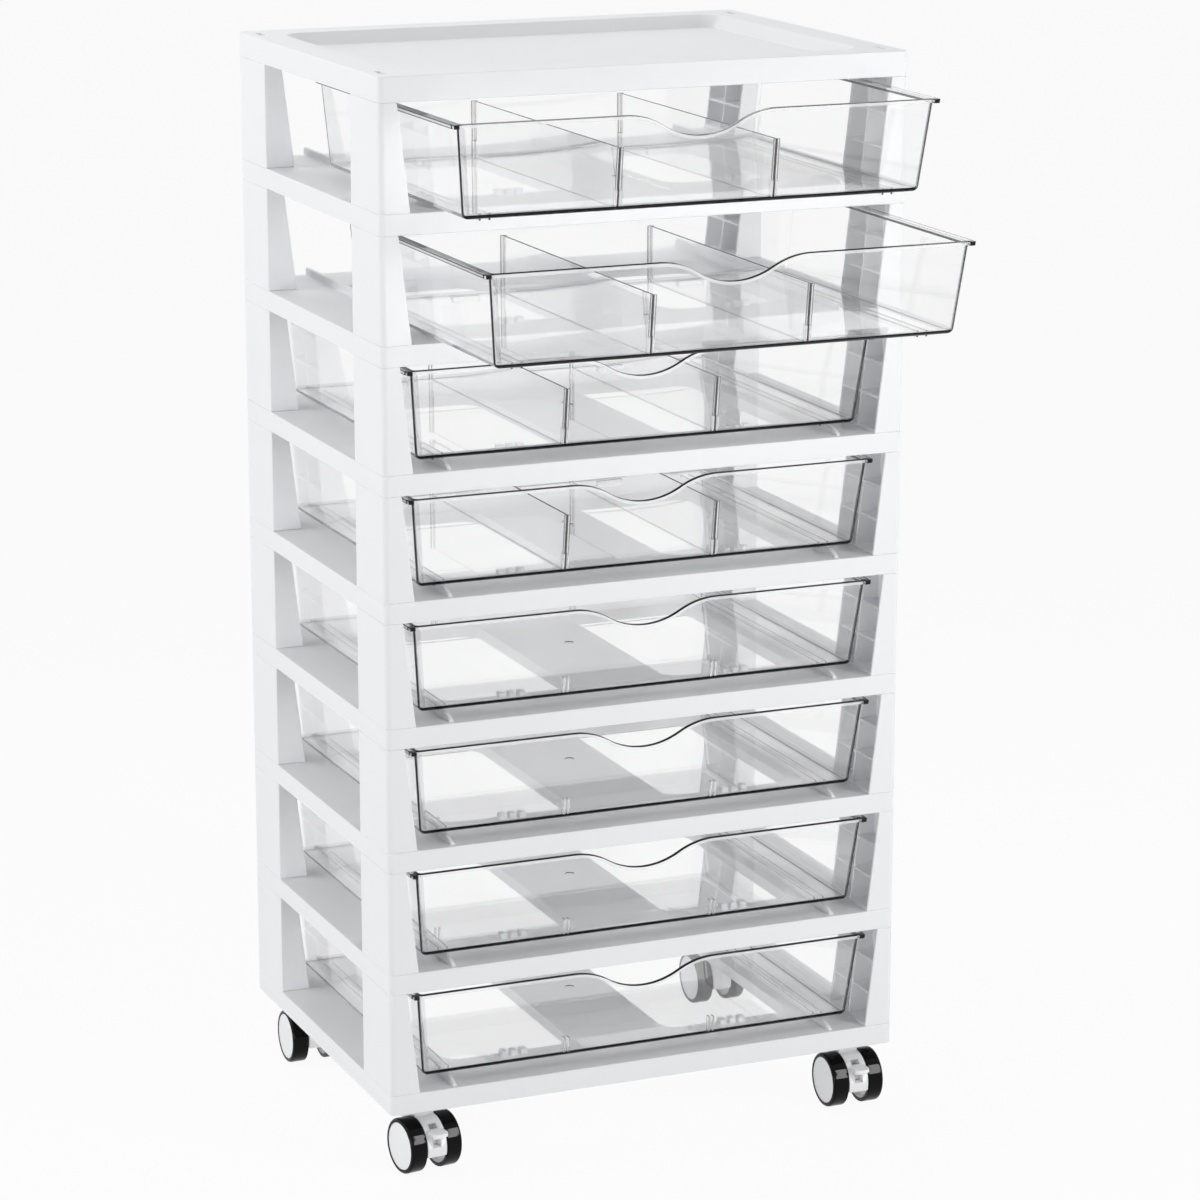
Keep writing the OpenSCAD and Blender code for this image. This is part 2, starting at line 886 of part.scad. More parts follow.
placed() top_cover();
placed() shelf_frame(1);  // shelf_frame_1
placed() shelf_frame(2);  // shelf_frame_2
placed() shelf_frame(3);  // shelf_frame_3
placed() shelf_frame(4);  // shelf_frame_4
placed() shelf_frame(5);  // shelf_frame_5
placed() shelf_frame(6);  // shelf_frame_6
placed() shelf_frame(7);  // shelf_frame_7
placed() base_frame();
placed() corner_posts(1);  // corner_posts_1
placed() corner_posts(2);  // corner_posts_2
placed() corner_posts(3);  // corner_posts_3
placed() corner_posts(4);  // corner_posts_4
placed() corner_posts(5);  // corner_posts_5
placed() corner_posts(6);  // corner_posts_6
placed() corner_posts(7);  // corner_posts_7
placed() corner_posts(8);  // corner_posts_8
placed() drawer(1);  // drawer_1
placed() drawer(2);  // drawer_2
placed() drawer(3);  // drawer_3
placed() drawer(4);  // drawer_4
placed() drawer(5);  // drawer_5
placed() drawer(6);  // drawer_6
placed() drawer(7);  // drawer_7
placed() drawer(8);  // drawer_8
placed() divider(1, -1);  // divider_1_left
placed() divider(1, 1);  // divider_1_right
placed() divider(2, -1);  // divider_2_left
placed() divider(2, 1);  // divider_2_right
placed() divider(3, -1);  // divider_3_left
placed() divider(3, 1);  // divider_3_right
placed() divider(4, -1);  // divider_4_left
placed() divider(4, 1);  // divider_4_right
placed() caster_stems();
placed() hood(-1, 0);  // hood_front_left
placed() hood(1, 0);  // hood_front_right
placed() hood(-1, 1);  // hood_rear_left
placed() hood(1, 1);  // hood_rear_right
placed() axle(-1, 0);  // axle_front_left
placed() axle(1, 0);  // axle_front_right
placed() axle(-1, 1);  // axle_rear_left
placed() axle(1, 1);  // axle_rear_right
placed() hubs(-1, 0);  // hubs_front_left
placed() hubs(1, 0);  // hubs_front_right
placed() hubs(-1, 1);  // hubs_rear_left
placed() hubs(1, 1);  // hubs_rear_right
placed() tyres(-1, 0);  // tyres_front_left
placed() tyres(1, 0);  // tyres_front_right
placed() tyres(-1, 1);  // tyres_rear_left
placed() tyres(1, 1);  // tyres_rear_right
placed() brake_lever(-1);  // brake_lever_left
placed() brake_lever(1);  // brake_lever_right
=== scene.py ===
# %% [markdown]
# # A plastic drawer tower
#
# Eight clear drawers slide in a stack of white frames and hollow corner posts, on four twin-wheel
# casters. The engineering model gives every size and every joint. This lesson dresses it: the
# drawers, the dividers and the wheels are modelled again with softer edges, the white mouldings
# keep their engineering mesh under fine bevels, and each plastic gets its own finish.
#
# Nothing in it is moved, and each new piece rides on the body that carries it, so every drawer and
# wheel still moves.

# %% Load the frame
import math

import bmesh
import bpy
from mathutils import Matrix, Vector


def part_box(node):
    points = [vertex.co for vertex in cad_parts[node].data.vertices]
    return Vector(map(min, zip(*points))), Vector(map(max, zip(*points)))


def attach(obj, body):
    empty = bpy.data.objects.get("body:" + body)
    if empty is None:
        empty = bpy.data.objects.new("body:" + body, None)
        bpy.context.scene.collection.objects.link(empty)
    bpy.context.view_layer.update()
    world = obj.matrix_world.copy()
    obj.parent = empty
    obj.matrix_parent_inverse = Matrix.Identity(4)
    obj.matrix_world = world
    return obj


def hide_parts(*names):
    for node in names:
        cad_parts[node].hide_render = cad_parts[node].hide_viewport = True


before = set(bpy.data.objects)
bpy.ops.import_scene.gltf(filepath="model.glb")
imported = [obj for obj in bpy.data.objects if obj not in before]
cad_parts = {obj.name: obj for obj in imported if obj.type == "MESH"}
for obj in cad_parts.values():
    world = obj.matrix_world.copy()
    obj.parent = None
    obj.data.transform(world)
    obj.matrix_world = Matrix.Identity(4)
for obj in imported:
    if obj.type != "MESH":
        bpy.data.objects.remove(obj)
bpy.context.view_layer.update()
mm = 0.001

# %% [markdown]
# ## Where things are
#
# Blender works in metres and the sizes below are written in millimetres, so each is multiplied by
# `mm`. Depths are counted from the front of the tower. Heights are counted from the underside of a
# drawer's own floor for the drawers, and from the ground for the casters.

# %% Places read from the frame
front_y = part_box("corner_posts_8")[0].y
head_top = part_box("hood_rear_left")[1].z / mm
tiers = range(1, 9)
print("posts begin at y", round(front_y / mm, 1), "and hoods end at z", round(head_top, 1))

# %% [markdown]
# ## The camera
#
# A product picture of a tall cart is taken from a few metres away, a little above the top and a
# little to the left, with a long lens. A long lens keeps the upright lines nearly parallel.

# %% Set up the camera
tilt_down = 14.057
turn_right = 22.887
bpy.context.scene.view_settings.view_transform = "Standard"
camera_data = bpy.data.cameras.new("camera")
camera_data.sensor_width = 36.0
camera_data.lens = 124.15
camera_data.clip_end = 100.0
camera = bpy.data.objects.new("camera", camera_data)
camera.location = (-1.1182, -2.6383, 1.101)
camera.rotation_euler = (math.radians(90 - tilt_down), 0.0, math.radians(-turn_right))
bpy.context.scene.collection.objects.link(camera)
bpy.context.scene.camera = camera
print("camera lens", camera_data.lens)

# %% [markdown]
# ## Shader maths as expressions
#
# A material is a small network of nodes. Wiring each one by hand hides what it computes, so a
# socket is wrapped in a class that knows the arithmetic signs. `1 - mask * 0.3` then adds its own
# Math nodes. Any other node comes from `node`, which sets its options first and its sockets after.

# %% A socket that can be calculated with
class Wire:
    """An output socket in a node tree."""

    def __init__(self, tree, socket):
        self.tree = tree
        self.socket = socket

    def _math(self, operation, first, second=None):
        made = self.tree.nodes.new("ShaderNodeMath")
        made.operation = operation
        for slot, value in zip(made.inputs, (first, second)):
            if isinstance(value, Wire):
                self.tree.links.new(value.socket, slot)
            elif value is not None:
                slot.default_value = value
        return Wire(self.tree, made.outputs[0])

    def __add__(self, other):
        return self._math("ADD", self, other)

    def __radd__(self, other):
        return self._math("ADD", other, self)

    def __sub__(self, other):
        return self._math("SUBTRACT", self, other)

    def __rsub__(self, other):
        return self._math("SUBTRACT", other, self)

    def __mul__(self, other):
        return self._math("MULTIPLY", self, other)

    def __rmul__(self, other):
        return self._math("MULTIPLY", other, self)

    def larger(self, other):
        return self._math("MAXIMUM", self, other)


class Finish:
    """A material under construction."""

    def __init__(self, name):
        self.material = bpy.data.materials.new(name)
        self.material.use_nodes = True
        self.tree = self.material.node_tree
        self.tree.nodes.clear()
        self.output = self.tree.nodes.new("ShaderNodeOutputMaterial")

    def node(self, kind, settings=None, inputs=None, output=0):
        """Adds a node: its settings first, then the values or wires of its sockets."""
        made = self.tree.nodes.new(kind)
        for key, value in (settings or {}).items():
            setattr(made, key, value)
        for key, value in (inputs or {}).items():
            if isinstance(value, Wire):
                self.tree.links.new(value.socket, made.inputs[key])
            else:
                made.inputs[key].default_value = value
        return Wire(self.tree, made.outputs[output])

    def place(self):
        """Object coordinates, in metres."""
        return self.node("ShaderNodeTexCoord", output="Object")

    def noise(self, scale, detail=2.0):
        """Soft noise that stays with the piece."""
        inputs = {"Vector": self.place(), "Scale": scale, "Detail": detail}
        return self.node("ShaderNodeTexNoise", inputs=inputs, output="Fac")

    def grade(self, value, low, high):
        """Maps 0 to 1 evenly on to low to high, and stops there."""
        inputs = {"Value": value, "To Min": low, "To Max": high}
        return self.node("ShaderNodeMapRange", inputs=inputs)

    def blend(self, factor, first, second):
        """Mixes two colours."""
        inputs = {0: factor, 6: first, 7: second}
        return self.node("ShaderNodeMix", {"data_type": "RGBA"}, inputs, output=2)

    def bump(self, height, strength, distance):
        inputs = {"Height": height, "Strength": strength, "Distance": distance}
        return self.node("ShaderNodeBump", inputs=inputs)

    def finish(self, shader):
        self.tree.links.new(shader.socket, self.output.inputs["Surface"])
        print("finish:", self.material.name, "with", len(self.tree.nodes), "nodes")
        return self.material


# %% [markdown]
# ## Floor and backdrop
#
# The studio is all white. The floor is a table lit a little from below, and it takes a faint
# shadow. To the camera, to mirrors and through clear plastic it shows as nearly white. That is what
# Light Path is for: those rays meet a white that lights nothing. The sky that lights the tower is a
# soft grey, brighter near the horizon, so that light reaches in between the shelves.

# %% Rays that see the background
def seen_rays(finish):
    """1 for camera, mirror and see-through rays, 0 for the rays that gather light."""
    path = finish.tree.nodes.new("ShaderNodeLightPath")
    camera_ray, mirror_ray, through_ray = [
        Wire(finish.tree, path.outputs[f"Is {kind} Ray"]) for kind in ("Camera", "Glossy", "Transmission")
    ]
    return camera_ray.larger(mirror_ray).larger(through_ray)


# %% Floor
white_light = (1.0, 1.0, 1.0, 1.0)
glow_from_below = 0.3
glow_when_seen = 0.63
floor_finish = Finish("studio_floor")
matt = floor_finish.node("ShaderNodeBsdfDiffuse", inputs={"Color": (0.86, 0.86, 0.86, 1.0)})
glow = floor_finish.node("ShaderNodeEmission", inputs={"Color": white_light, "Strength": 1.0})
share = seen_rays(floor_finish) * glow_when_seen + glow_from_below
floor_shader = floor_finish.node("ShaderNodeMixShader", inputs={0: share, 1: matt, 2: glow})
floor_material = floor_finish.finish(floor_shader)

bpy.ops.object.select_all(action="DESELECT")
bpy.ops.mesh.primitive_plane_add(size=60.0, location=(0.0, 0.0, 0.0))
floor = bpy.context.object
floor.name = "studio_floor"
floor.data.materials.append(floor_material)
print("floor is", floor.dimensions.x, "m wide")

# %% Sky
world = bpy.data.worlds.new("studio_sky")
world.use_nodes = True
bpy.context.scene.world = world
world.node_tree.nodes.clear()


class Sky(Finish):
    """The same helpers, on the world's node tree."""

    def __init__(self, world):
        self.material = world
        self.tree = world.node_tree
        self.output = self.tree.nodes.new("ShaderNodeOutputWorld")


sky = Sky(world)
sky_tint = (0.97, 0.98, 1.0, 1.0)
low_sky = sky.node("ShaderNodeBackground", inputs={"Color": sky_tint, "Strength": 0.63})
high_sky = sky.node("ShaderNodeBackground", inputs={"Color": sky_tint, "Strength": 0.3})
direction = sky.node("ShaderNodeTexCoord", output="Generated")
rise = sky.node("ShaderNodeSeparateXYZ", inputs={"Vector": direction}, output="Z")
# The low sky ends about 8 degrees above the horizon, and the high sky begins at about 36.
climb = sky.grade(rise * 2.2 - 0.3, 0.0, 1.0)
soft = sky.node("ShaderNodeMixShader", inputs={0: climb, 1: low_sky, 2: high_sky})
white = sky.node("ShaderNodeBackground", inputs={"Color": white_light, "Strength": 1.0})
sky_shader = sky.node("ShaderNodeMixShader", inputs={0: seen_rays(sky), 1: soft, 2: white})
sky.finish(sky_shader)

# %% [markdown]
# ## Lamps
#
# Each lamp is a soft box. A tall narrow one at the front right gives the fronts and the tyres their
# shine, and a small low one beside it lights the lower tiers without showing in any mirror. A large
# one lights the left side, a low one the casters, and one behind and above the sunk tray.

# %% Five soft boxes
def lamp(name, place, target, wide, high, power, upright=(0.0, 0.0, 1.0)):
    """A soft box that faces a point and stands along a line. The camera doesn't see the box."""
    up = Vector(upright).normalized()
    right = up.cross(Vector(place) - Vector(target)).normalized()
    data = bpy.data.lights.new(name, "AREA")
    data.shape = "RECTANGLE"
    data.size = wide
    data.size_y = high
    data.energy = power
    box = bpy.data.objects.new(name, data)
    box.location = place
    box.rotation_euler = Matrix((right, up, right.cross(up))).transposed().to_euler()
    box.visible_camera = False
    box.visible_transmission = False
    bpy.context.scene.collection.objects.link(box)
    print("lamp", name, power, "W")
    return box


lamp("tall_strip", (1.03, -1.515, 1.14), (0.0, -0.08, 0.4), 0.17, 1.35, 14.0, (0.255, 0.282, 1.253))
low_right = lamp("low_right", (1.25, -1.35, 0.3), (0.0, 0.0, 0.3), 0.5, 0.5, 3.0)
low_right.visible_glossy = False
lamp("fill_left", (-2.0, 0.5, 1.9), (0.0, 0.1, 0.4), 1.2, 1.2, 21.0)
lamp("low_left", (-2.2, -0.5, 0.15), (0.0, 0.0, 0.1), 1.2, 0.25, 8.0)
lamp("top_soft", (0.0, 1.5, 2.4), (0.0, 0.0, 0.6), 1.6, 1.6, 20.0)

# %% [markdown]
# ## White moulded plastic
#
# Polystyrene from a polished steel mould: nearly white, a little cool, with a soft shine. On the
# real thing the shine is never even. The mould leaves a very fine orange-peel, and the thicker
# places sink a little. Two scales of noise in the roughness and in a weak bump give both.

# %% White finishes
plastic_ior = 1.5
sink_scale = 9.0


def white_plastic(name, colour, shine, grain):
    """White plastic with a given roughness and fineness of its orange-peel."""
    paint = Finish(name)
    broad = paint.noise(sink_scale, 3.0)
    fine = paint.noise(grain)
    shaded = [c * 0.965 for c in colour[:3]] + [1.0]
    inputs = {
        "Base Color": paint.blend(broad, colour, shaded),
        "Roughness": paint.grade(broad, shine - 0.05, shine + 0.06),
        "Normal": paint.bump(fine * 0.6 + broad * 0.4, 0.12, 0.12 * mm),
        "IOR": plastic_ior,
    }
    return paint.finish(paint.node("ShaderNodeBsdfPrincipled", inputs=inputs))


white_frame = white_plastic("white_frame", (0.885, 0.89, 0.9, 1.0), 0.42, 420.0)
white_caster = white_plastic("white_caster", (0.89, 0.89, 0.9, 1.0), 0.28, 500.0)
# The lever is a whiter copy of the caster plastic: painted light that brightens its pad.
lever_painted_brighter = white_plastic("lever_painted_brighter", (0.95, 0.95, 0.955, 1.0), 0.25, 500.0)

# %% [markdown]
# ## Clear moulded plastic
#
# The drawers are clear polystyrene, two millimetres thick. A flat wall is almost invisible, and
# the thick places are what the eye sees: light that enters a rim or a corner travels a long way
# inside and comes out grey, or not at all. So one recipe gives a family of finishes, from nearly
# colourless walls through grey rounds to the drawn lines of the edges and the black of the foot.
# That grey, those lines and that black are painted shade in the colour of clear faces, and a
# whiter bead is a painted highlight.
#
# A renderer that follows light backwards can't aim at a lamp through a bending surface, and would
# leave the inside of the tower dark. The rays that look for a lamp are therefore let straight
# through, only a little dimmed.

# %% Clear finishes
def clear_plastic(name, colour, shine, shade_through, glint=1.0, through=1.0):
    """Clear plastic. Lamp rays pass dimmed by `shade_through`, and `glint` scales the mirror image."""
    paint = Finish(name)
    flow = paint.noise(22.0)
    shaded = [c * 0.985 for c in colour[:3]] + [1.0]
    inputs = {
        "Base Color": paint.blend(flow, colour, shaded),
        "Roughness": paint.grade(flow, shine, shine + 0.03),
        "Normal": paint.bump(flow, 0.05, 0.2 * mm),
        "Transmission Weight": through,
        "Specular Tint": (glint, glint, glint, 1.0),
        "IOR": plastic_ior,
    }
    solid = paint.node("ShaderNodeBsdfPrincipled", inputs=inputs)
    straight = paint.node("ShaderNodeBsdfTransparent", inputs={"Color": shade_through})
    lamp_ray = paint.node("ShaderNodeLightPath", output="Is Shadow Ray")
    return paint.finish(paint.node("ShaderNodeMixShader", inputs={0: lamp_ray, 1: solid, 2: straight}))


clear_wall = clear_plastic("clear_wall", (0.992, 0.993, 0.995, 1.0), 0.0, (0.985, 0.985, 0.988, 1.0))
# Painted highlight: the bead's finish is whiter and less clear, so that it shines white.
bead_painted_highlight = clear_plastic("bead_painted_highlight", (0.97, 0.97, 0.975, 1.0), 0.05, (0.9, 0.9, 0.905, 1.0), 1.0, 0.45)
# Painted shade: the grey rounds, the dark divider edges, the dark lines and the black foot are dark colours
# painted on clear plastic.
round_painted_grey = clear_plastic("round_painted_grey", (0.7, 0.705, 0.72, 1.0), 0.01, (0.9, 0.9, 0.91, 1.0))
seam_painted_dark = clear_plastic("seam_painted_dark", (0.3, 0.3, 0.31, 1.0), 0.02, (0.8, 0.8, 0.82, 1.0))
edge_painted_dark = clear_plastic("edge_painted_dark", (0.08, 0.08, 0.085, 1.0), 0.02, (0.6, 0.6, 0.62, 1.0), 0.7)
line_painted_dark = clear_plastic("line_painted_dark", (0.004, 0.004, 0.005, 1.0), 0.03, (0.4, 0.4, 0.42, 1.0), 0.6)
foot_painted_black = clear_plastic("foot_painted_black", (0.0, 0.0, 0.0, 1.0), 0.05, (0.3, 0.3, 0.32, 1.0), 0.2)

# %% Enough bounces for eight drawers in a row
scene_rays = bpy.context.scene.cycles
scene_rays.max_bounces = 24
scene_rays.diffuse_bounces = 8
scene_rays.transmission_bounces = 24
scene_rays.transparent_max_bounces = 48
print("bounces:", scene_rays.max_bounces)

# %% [markdown]
# ## Tyres and steel
#
# The tyres are hard, black and glossy, so all that shows of their shape is a narrow patch of light.
# The stems and axles are turned steel.

# %% Tyre and steel finishes
def grained(name, colour, grain, roughness, relief, own):
    """A finish of one colour, with a fine grain in its shine and its surface."""
    paint = Finish(name)
    fine = paint.noise(grain)
    inputs = {
        "Base Color": colour,
        "Roughness": paint.grade(fine, *roughness),
        "Normal": paint.bump(fine, relief, 0.1 * mm),
        **own,
    }
    return paint.finish(paint.node("ShaderNodeBsdfPrincipled", inputs=inputs))


black = (0.001, 0.001, 0.0012, 1.0)
steel = (0.62, 0.63, 0.65, 1.0)
tyre_finish = grained("glossy_tyre", black, 600.0, (0.04, 0.07), 0.03, {"Specular IOR Level": 0.12})
steel_finish = grained("bright_steel", steel, 350.0, (0.25, 0.38), 0.1, {"Metallic": 1.0})

# %% [markdown]
# ## Working by hand
#
# The new pieces are made as they would be at the desk: a primitive is put in its place, edges and
# faces are picked, and the operators of edit mode shape them. An operator acts on all that is
# selected, so the helpers below first clear the selection and then pick by place.

# %% Helpers for objects
def deselect():
    """Leaves edit mode and clears the selection."""
    if bpy.context.mode != "OBJECT":
        bpy.ops.object.mode_set(mode="OBJECT")
    bpy.ops.object.select_all(action="DESELECT")


def only(*pieces):
    """Selects these objects and nothing else, and makes the first one active."""
    deselect()
    for piece in pieces:
        piece.select_set(True)
    bpy.context.view_layer.objects.active = pieces[0]


def settle(name):
    """Names the new primitive and writes its place, turn and size into its mesh."""
    piece = bpy.context.object
    piece.name = name
    bpy.ops.object.transform_apply(location=True, rotation=True, scale=True)
    return piece


def block(name, low, high):
    """A box between two corners given in millimetres."""
    deselect()
    low, high = Vector(low) * mm, Vector(high) * mm
    bpy.ops.mesh.primitive_cube_add(size=1.0, location=(low + high) / 2)
    bpy.context.object.scale = high - low
    return settle(name)


def rod(name, low, high, radius, axis, steps=48):
    """A round bar between two points, along X or Z."""
    deselect()
    low, high = Vector(low) * mm, Vector(high) * mm
    turn = (0.0, math.radians(90), 0.0) if axis == "X" else (0.0, 0.0, 0.0)
    size = {"radius": radius * mm, "depth": (high - low).length, "vertices": steps}
    bpy.ops.mesh.primitive_cylinder_add(location=(low + high) / 2, rotation=turn, **size)
    return settle(name)


def apply_modifier(piece, kind, **settings):
    """Adds a modifier, sets it and applies it."""
    only(piece)
    made = piece.modifiers.new(kind.lower(), kind)
    for key, value in settings.items():
        setattr(made, key, value)
    bpy.ops.object.modifier_apply(modifier=made.name)


def join_solid(piece, others):
    """Fuses small blocks to a piece as one skin."""
    only(*others)
    if len(others) > 1:
        bpy.ops.object.join()
    extra = bpy.context.object
    apply_modifier(piece, "BOOLEAN", operation="UNION", solver="EXACT", object=extra)
    bpy.data.objects.remove(extra)


def cut_away(piece, cutter):
    """Takes the cutter's shape out of a piece, and removes the cutter."""
    apply_modifier(piece, "BOOLEAN", operation="DIFFERENCE", solver="EXACT", object=cutter)
    bpy.data.objects.remove(cutter)


def break_edges(piece, width, degrees):
    """Bevels every edge that turns by more than an angle."""
    sharp = {"limit_method": "ANGLE", "angle_limit": math.radians(degrees)}
    apply_modifier(piece, "BEVEL", width=width * mm, segments=2, **sharp)


def smooth(piece, degrees):
    """Smooth shading that leaves large flat faces flat."""
    only(piece)
    bpy.ops.object.shade_smooth_by_angle(angle=math.radians(degrees))
    apply_modifier(piece, "WEIGHTED_NORMAL", mode="FACE_AREA", weight=100, keep_sharp=True)


def coat(piece, finish):
    """Gives a piece one finish."""
    piece.data.materials.clear()
    piece.data.materials.append(finish)


def report(piece):
    """Prints the size of a mesh and how many of its edges are open."""
    check = bmesh.new()
    check.from_mesh(piece.data)
    loose = sum(1 for edge in check.edges if len(edge.link_faces) != 2)
    volume = check.calc_volume(signed=True) / mm ** 3
    print(f"{piece.name}: {len(check.faces)} faces, {loose} open edges, {volume:.0f} mm3")
    check.free()


# %% Helpers for edit mode
def pick(piece, kind, wanted):
    """In edit mode, selects the faces, edges or verts that `wanted` says yes to."""
    bpy.ops.object.mode_set(mode="EDIT")
    bpy.ops.mesh.select_mode(type={"verts": "VERT", "edges": "EDGE", "faces": "FACE"}[kind])
    bpy.ops.mesh.select_all(action="DESELECT")
    cage = bmesh.from_edit_mesh(piece.data)
    cage.normal_update()
    count = 0
    for part in getattr(cage, kind):
        if wanted(part):
            part.select_set(True)
            count += 1
    cage.select_flush_mode()
    bmesh.update_edit_mesh(piece.data)
    return count


def every(part):
    """Says yes to each part."""
    return True


def middle(part):
    """The middle of an edge or a face, in millimetres."""
    points = [v.co for v in part.verts]
    return sum(points, Vector()) / len(points) / mm


def shift(x=0.0, y=0.0, z=0.0):
    """Moves what is selected by so many millimetres."""
    bpy.ops.transform.translate(value=(x * mm, y * mm, z * mm))


def extrude(x=0.0, y=0.0):
    """Extrudes the selected faces by so many millimetres."""
    bpy.ops.mesh.extrude_region_move(TRANSFORM_OT_translate={"value": (x * mm, y * mm, 0.0)})


def round_off(radius, steps, affect="EDGES"):
    """Rounds the selected edges, or the selected corners of a flat outline."""
    bpy.ops.mesh.bevel(offset=radius * mm, segments=steps, affect=affect)


def cut_across(place, normal, **settings):
    """Cuts the selected faces along a plane. With no window the operator needs a made-up stroke."""
    stroke = {"xstart": 0, "ystart": 0, "xend": 1, "yend": 1}
    bpy.ops.mesh.bisect(plane_co=Vector(place) * mm, plane_no=normal, **stroke, **settings)


def cut_level(level, **settings):
    """Cuts the selected faces at a height."""
    cut_across((0.0, 0.0, level), (0.0, 0.0, 1.0), **settings)


def recalculate(piece):
    """Merges doubles and turns every face outwards."""
    only(piece)
    bpy.ops.object.mode_set(mode="EDIT")
    bpy.ops.mesh.select_all(action="SELECT")
    bpy.ops.mesh.remove_doubles(threshold=0.001 * mm)
    bpy.ops.mesh.normals_make_consistent(inside=False)
    bpy.ops.object.mode_set(mode="OBJECT")


# %% [markdown]
# ## A drawer
#
# A shallow tray whose walls lean outwards, so that it leaves its mould. Its front dips in a wide
# finger scoop with round shoulders, and a bead stands out along the front rim. A flange along each
# side is what a hand holds. The tray starts as a box, is tapered, and gets its round corners in
# one bevel. Only then is it opened at the top, so that the wall thickness follows every curve.

# %% The drawer's sizes, in millimetres from the front of the tower when it is closed
height = 63.5
foot_half = 165.27
top_half = 171.64
front_foot = 14.7
front_top = 6.5
front_zone = 20.0
drawer_back = 279.0
wall = 2.0
corner = 4.0
bead_height = 2.4
bead_out = 0.8
flange_wide = 4.0
flange_thick = 3.0
edge_line = 0.8
rim_line = 0.7
scoop_half = 54.0
scoop_deep = 15.6
scoop_columns = 36
lean = (front_foot - front_top) / height

# For the tests that pick parts: a normal that looks one way, the same place, higher than the foot,
# and between the front and the back.
facing = 0.9
slack = 0.05
above_foot = 1.0
half_way = 100.0
print("the front leans out by", round(math.degrees(math.atan(lean)), 1), "degrees")

# %% The tapered box with its round corners
drawer = block("drawer_model", (-foot_half, front_foot, 0.0), (foot_half, drawer_back, height))
pick(drawer, "verts", lambda v: v.co.z > above_foot * mm)
widen = top_half / foot_half
bpy.ops.transform.resize(value=(widen, 1.0, 1.0), center_override=(0.0, 0.0, 0.0))
pick(drawer, "verts", lambda v: v.co.z > above_foot * mm and v.co.y < half_way * mm)
shift(y=front_top - front_foot)


def upright_or_bottom(edge):
    """True for the four corner edges and the four at the foot."""
    points = [v.co / mm for v in edge.verts]
    return all(p.z < above_foot for p in points) or abs(points[0].z - points[1].z) > 10.0


picked = pick(drawer, "edges", upright_or_bottom)
round_off(corner, 7)
print(picked, "edges rounded")

# %% Rings of edges for the flange and the bead
def on_front(face):
    """True for a face of the front wall."""
    return face.normal.y < -facing and middle(face).y < front_zone


for level in (height - flange_thick, height - bead_height, height - rim_line):
    pick(drawer, "faces", every)
    cut_level(level)

scoop_margin = 8.0
front_low = height - scoop_deep - scoop_margin
pick(drawer, "faces", on_front)
cut_level(front_low)
print("the front wall is cut from", round(front_low, 1), "mm up")

# %% Columns of edges across the scoop
columns = [scoop_half * (2 * i / scoop_columns - 1) for i in range(scoop_columns + 1)]
for x in columns:
    pick(drawer, "faces", lambda f: on_front(f) and middle(f).z > front_low)
    cut_across((x, 0.0, 0.0), (1.0, 0.0, 0.0))
print(len(columns), "columns cut in the front wall")

# %% Open the top and pull the scoop down
pick(drawer, "faces", lambda f: f.normal.z > facing and middle(f).z > height - 0.1)
bpy.ops.mesh.delete(type="FACE")
scoop_radius = scoop_half ** 2 / (4 * scoop_deep) + scoop_deep / 4


def dip(x):
    """How far the rim lies below its ends: a hollow arc between two round shoulders."""
    if abs(x) < scoop_half / 2:
        return scoop_deep - scoop_radius + math.sqrt(scoop_radius ** 2 - x ** 2)
    return scoop_radius - math.sqrt(scoop_radius ** 2 - (scoop_half - abs(x)) ** 2)


for x in columns[1:-1]:

    def in_column(v):
        here = v.co / mm
        at_rim = here.z > height - flange_thick - slack and here.y < front_zone
        return abs(here.x - x) < slack and at_rim

    pick(drawer, "verts", in_column)
    shift(y=dip(x) * lean, z=-dip(x))
bpy.ops.object.mode_set(mode="OBJECT")
print("scoop radius", round(scoop_radius, 1))

# %% Give the walls their thickness
apply_modifier(drawer, "SOLIDIFY", thickness=wall * mm, offset=-1.0, use_even_offset=True)
report(drawer)

# %% Extrude the flanges and the bead
def rim_dip(point):
    """How far the rim lies below its ends at a point."""
    inside = abs(point.x) < scoop_half and point.y < front_zone
    return dip(point.x) if inside else 0.0


def along_rim(face, below):
    """True for a face whose corners all lie within some distance of the rim."""
    points = [v.co / mm for v in face.verts]
    return all(p.z > height - rim_dip(p) - below - slack for p in points)


for side in (-1, 1):

    def side_band(f):
        outside = f.normal.x * side > facing and middle(f).x * side > foot_half
        return outside and along_rim(f, flange_thick)

    pick(drawer, "faces", side_band)
    extrude(x=side * flange_wide)

    def flange_end(f):
        return f.normal.y < -facing and middle(f).x * side > top_half + 0.5

    pick(drawer, "faces", flange_end)
    cage = bmesh.from_edit_mesh(drawer.data)
    end_y = min(v.co.y for v in cage.verts if v.select) / mm
    reach = (front_top - bead_out) - end_y
    extrude(y=reach)
    print("flange lengthened by", round(reach, 2), "mm")


def bead_band(f):
    """True for the strip of the front wall that becomes the bead."""
    return f.normal.y < -facing and along_rim(f, bead_height) and abs(middle(f).x) < top_half


pick(drawer, "faces", bead_band)
bpy.ops.mesh.extrude_region_shrink_fatten(TRANSFORM_OT_shrink_fatten={"value": bead_out * mm})
bpy.ops.object.mode_set(mode="OBJECT")
report(drawer)

# %% [markdown]
# Under the floor two pairs of ribs straddle the runners, and two lugs meet the stop blocks. Inside,
# pairs of short ribs hold the dividers. They are small blocks, fused to the tray in one go. The
# round dimple in the middle of the floor is where the plastic entered the mould.

